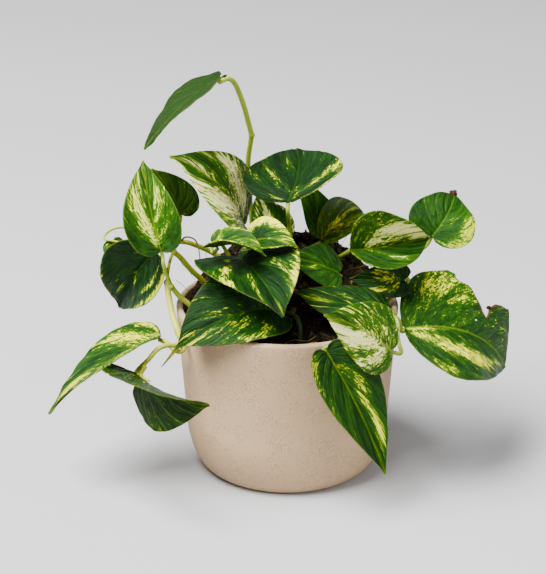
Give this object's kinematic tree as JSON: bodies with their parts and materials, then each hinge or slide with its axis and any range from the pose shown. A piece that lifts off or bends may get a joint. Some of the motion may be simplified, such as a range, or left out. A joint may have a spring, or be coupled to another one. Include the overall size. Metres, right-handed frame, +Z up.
{
  "type": "potted pothos plant",
  "caption": "Variegated pothos with heart-shaped leaves on trailing and upright vines, rooted in a domed soil ball in a matte round-footed ceramic pot.",
  "frame": {"origin": "centre of the pot's flat foot, on the surface it stands on", "axes": "+Z up, -Y towards the side the plant is seen from, +X to the right seen from there"},
  "size_m": [0.2952, 0.1745, 0.2535],
  "materials": {
    "pot_ceramic": "matte, finely speckled",
    "soil": "crumbly peat, matte",
    "vine": "smooth, waxy",
    "leaf_green": "waxy, satin",
    "leaf_dark": "waxy, satin",
    "leaf_yellow": "waxy, satin",
    "leaf_cream": "waxy, satin"
  },
  "bodies": {
    "root": {"pot": "pot_ceramic", "soil": "soil", "vine_tall": "vine", "vine_trailing": "vine", "vine_upright": "vine", "vine_left": "vine", "vine_center": "vine", "vine_drooping": "vine", "vine_inner": "vine", "vine_cream": "vine", "vine_crown": "vine", "vine_front": "vine", "vine_hanging": "vine", "vine_right_front": "vine", "vine_right_cream": "vine", "vine_right_round": "vine", "vine_small_right": "vine", "vine_middle_dark": "vine", "vine_middle_low": "vine", "vine_back_folded": "vine", "vine_back_narrow": "vine", "leaf_arch": "leaf_green", "leaf_upright": "leaf_cream", "leaf_behind": "leaf_dark", "leaf_cream": "leaf_cream", "leaf_crown": "leaf_dark", "leaf_inner": "leaf_cream", "leaf_curled": "leaf_green", "leaf_drooping": "leaf_yellow", "leaf_center": "leaf_dark", "leaf_lower_left": "leaf_dark", "leaf_left_dark": "leaf_dark", "leaf_low_long": "leaf_yellow", "leaf_low_folded": "leaf_green", "leaf_far_left": "leaf_green", "leaf_back_narrow": "leaf_dark", "leaf_back_folded": "leaf_dark", "leaf_right_cream": "leaf_cream", "leaf_right_round": "leaf_green", "leaf_small_right": "leaf_yellow", "leaf_middle_dark": "leaf_dark", "leaf_middle_low": "leaf_dark", "leaf_front_cream": "leaf_cream", "leaf_hanging": "leaf_dark", "leaf_big_right": "leaf_yellow"}
  },
  "joints": []
}
